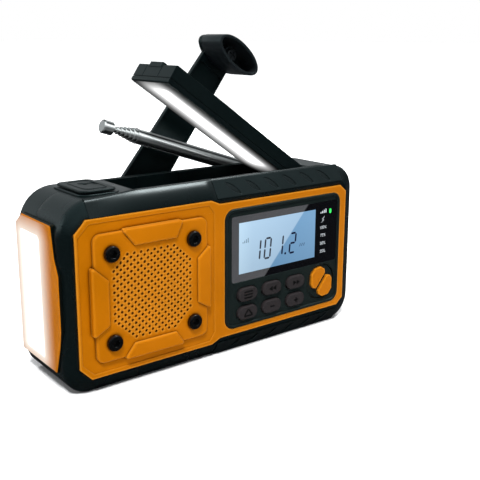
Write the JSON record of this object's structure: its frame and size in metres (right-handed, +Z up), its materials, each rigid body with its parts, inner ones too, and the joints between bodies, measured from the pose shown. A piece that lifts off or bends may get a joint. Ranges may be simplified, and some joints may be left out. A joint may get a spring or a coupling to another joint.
{
  "type": "portable emergency radio",
  "caption": "Portable emergency radio with a folding hand crank, a hinged solar flap with lamp, a telescopic antenna, a speaker grille and a digital display.",
  "frame": {"origin": "on the flat underside, below the middle of the front panel and midway between front and rear faces", "axes": "+X to the right of someone facing the display, +Y from the front to the rear, +Z up"},
  "size_m": [0.1622, 0.0627, 0.1439],
  "materials": {
    "case_black": "satin moulded plastic, fine texture",
    "panel_orange": "satin orange moulded plastic",
    "bezel_black": "fine texture",
    "button_grey": "soft touch rubber",
    "window_gloss": "polished tinted acrylic",
    "lcd": "backlit display",
    "led_green": "lit green diode",
    "screw_black": "black zinc",
    "screw_steel": "plain steel",
    "grip_rubber": "matt rubber",
    "circuit_green": "solder mask",
    "speaker_cone": "treated paper",
    "cell_wrap": "shrink wrap",
    "gear_white": "acetal",
    "bush_brass": "sintered bronze",
    "can_steel": "plated steel can",
    "lens_white": "frosted diffuser, lit",
    "reflector": "metallised plastic",
    "solar_blue": "laminated silicon cells",
    "antenna_chrome": "polished chrome"
  },
  "bodies": {
    "case": {"front_shell": "case_black", "rear_shell": "case_black", "front_panel": "panel_orange", "speaker_grille": "panel_orange", "grille_clamps": "panel_orange", "grille_screws": "screw_black", "display_bezel": "bezel_black", "lcd_window": "window_gloss", "lcd_module": "lcd", "status_led": "led_green", "button_board": "circuit_green", "selector_dish": "bezel_black", "selector_encoder": "bezel_black", "speaker": "speaker_cone", "circuit_board": "circuit_green", "port_plate": "case_black", "battery_cells": "cell_wrap", "battery_door": "case_black", "idler_axle": "screw_steel", "generator": "can_steel", "light_frame": "panel_orange", "light_lens": "lens_white", "light_reflector": "reflector", "light_leds": "lens_white", "top_button_base": "case_black", "grip_pads": "grip_rubber", "flap_tray": "case_black", "flap_pin": "screw_steel", "antenna_bracket": "antenna_chrome", "antenna_pin": "screw_steel", "crank_bushing": "bush_brass", "housing_screws": "screw_steel"},
    "flap": {"flap_body": "case_black", "solar_panel": "solar_blue", "lamp_lens": "lens_white"},
    "antenna": {"antenna_tube": "antenna_chrome"},
    "crank_hub": {"crank_hub": "case_black", "crank_gear": "gear_white", "crank_pin": "screw_steel"},
    "crank_arm": {"crank_arm": "case_black", "knob_screw": "screw_steel"},
    "crank_knob": {"crank_knob": "case_black"},
    "idler": {"idler_gear": "gear_white"},
    "generator_rotor": {"generator_pinion": "gear_white"},
    "selector_knob": {"selector_knob": "panel_orange", "selector_disc": "bezel_black"},
    "top_button": {"top_button": "button_grey"},
    "port_cover": {"port_cover": "button_grey"},
    "antenna_section_1": {"antenna_section_1": "antenna_chrome"},
    "antenna_section_2": {"antenna_section_2": "antenna_chrome"},
    "antenna_section_3": {"antenna_section_3": "antenna_chrome"},
    "antenna_section_4": {"antenna_section_4": "antenna_chrome"},
    "antenna_section_5": {"antenna_section_5": "antenna_chrome"},
    "antenna_section_6": {"antenna_section_6": "antenna_chrome"},
    "menu_button": {"menu_button": "button_grey"},
    "tune_down_button": {"tune_down_button": "button_grey"},
    "tune_up_button": {"tune_up_button": "button_grey"},
    "mode_button": {"mode_button": "button_grey"},
    "preset_down_button": {"preset_down_button": "button_grey"},
    "preset_up_button": {"preset_up_button": "button_grey"}
  },
  "joints": [
    {"name": "flap_tilt", "type": "hinge", "parent": "case", "child": "flap", "pos_m": [0.0509, -0.0035, 0.0764], "axis": [0, 1, 0], "range_deg": [-34.5, 55]},
    {"name": "antenna_tilt", "type": "hinge", "parent": "case", "child": "antenna", "pos_m": [0.0435, 0.0182, 0.077], "axis": [0, 1, 0], "range_deg": [-18.3, 45]},
    {"name": "section_1_slide", "type": "slide", "parent": "antenna", "child": "antenna_section_1", "axis": [-0.9494, 0, 0.314], "range_m": [0, 0.045]},
    {"name": "section_2_slide", "type": "slide", "parent": "antenna_section_1", "child": "antenna_section_2", "axis": [-0.9494, 0, 0.314], "range_m": [0, 0.045]},
    {"name": "section_3_slide", "type": "slide", "parent": "antenna_section_2", "child": "antenna_section_3", "axis": [-0.9494, 0, 0.314], "range_m": [0, 0.045]},
    {"name": "section_4_slide", "type": "slide", "parent": "antenna_section_3", "child": "antenna_section_4", "axis": [-0.9494, 0, 0.314], "range_m": [0, 0.045]},
    {"name": "section_5_slide", "type": "slide", "parent": "antenna_section_4", "child": "antenna_section_5", "axis": [-0.9494, 0, 0.314], "range_m": [0, 0.045]},
    {"name": "section_6_slide", "type": "slide", "parent": "antenna_section_5", "child": "antenna_section_6", "axis": [-0.9494, 0, 0.314], "range_m": [0, 0.045]},
    {"name": "crank_turn", "type": "hinge", "parent": "case", "child": "crank_hub", "pos_m": [-0.0217, 0.025, 0.0604], "axis": [0, -1, 0], "range_deg": [-52.3, 130]},
    {"name": "crank_fold", "type": "hinge", "parent": "crank_hub", "child": "crank_arm", "pos_m": [-0.0217, 0.0312, 0.0604], "axis": [-0.7912, 0, 0.6115], "range_deg": [0, 180]},
    {"name": "knob_spin", "type": "hinge", "parent": "crank_arm", "child": "crank_knob", "pos_m": [0.03517, 0.02, 0.13398], "axis": [0, -1, 0], "range_deg": [-360, 360]},
    {"name": "idler_spin", "type": "hinge", "parent": "case", "child": "idler", "pos_m": [-0.03167, 0.018, 0.05043], "axis": [0, -1, 0], "continuous": true},
    {"name": "generator_spin", "type": "hinge", "parent": "case", "child": "generator_rotor", "pos_m": [-0.03718, 0.016, 0.0353], "axis": [0, -1, 0], "continuous": true},
    {"name": "selector_turn", "type": "hinge", "parent": "case", "child": "selector_knob", "pos_m": [0.0585, -0.025, 0.0238], "axis": [0, 1, 0], "continuous": true},
    {"name": "top_button_press", "type": "slide", "parent": "case", "child": "top_button", "axis": [0, 0, -1], "range_m": [0, 0.00045], "stiffness_N_per_m": 400},
    {"name": "port_cover_open", "type": "hinge", "parent": "case", "child": "port_cover", "pos_m": [0.0823, -0.0001, 0.0254], "axis": [0, 1, 0], "range_deg": [0, 120]},
    {"name": "menu_button_press", "type": "slide", "parent": "case", "child": "menu_button", "axis": [0, 1, 0], "range_m": [0, 0.0008], "stiffness_N_per_m": 300},
    {"name": "tune_down_button_press", "type": "slide", "parent": "case", "child": "tune_down_button", "axis": [0, 1, 0], "range_m": [0, 0.0008], "stiffness_N_per_m": 300},
    {"name": "tune_up_button_press", "type": "slide", "parent": "case", "child": "tune_up_button", "axis": [0, 1, 0], "range_m": [0, 0.0008], "stiffness_N_per_m": 300},
    {"name": "mode_button_press", "type": "slide", "parent": "case", "child": "mode_button", "axis": [0, 1, 0], "range_m": [0, 0.0008], "stiffness_N_per_m": 300},
    {"name": "preset_down_button_press", "type": "slide", "parent": "case", "child": "preset_down_button", "axis": [0, 1, 0], "range_m": [0, 0.0008], "stiffness_N_per_m": 300},
    {"name": "preset_up_button_press", "type": "slide", "parent": "case", "child": "preset_up_button", "axis": [0, 1, 0], "range_m": [0, 0.0008], "stiffness_N_per_m": 300}
  ],
  "couplings": [
    {"joint": "section_2_slide", "follows": "section_1_slide", "ratio": 1},
    {"joint": "section_3_slide", "follows": "section_1_slide", "ratio": 1},
    {"joint": "section_4_slide", "follows": "section_1_slide", "ratio": 1},
    {"joint": "section_5_slide", "follows": "section_1_slide", "ratio": 1},
    {"joint": "section_6_slide", "follows": "section_1_slide", "ratio": 1},
    {"joint": "idler_spin", "follows": "crank_turn", "ratio": -2.5},
    {"joint": "generator_spin", "follows": "crank_turn", "ratio": 7.5}
  ]
}
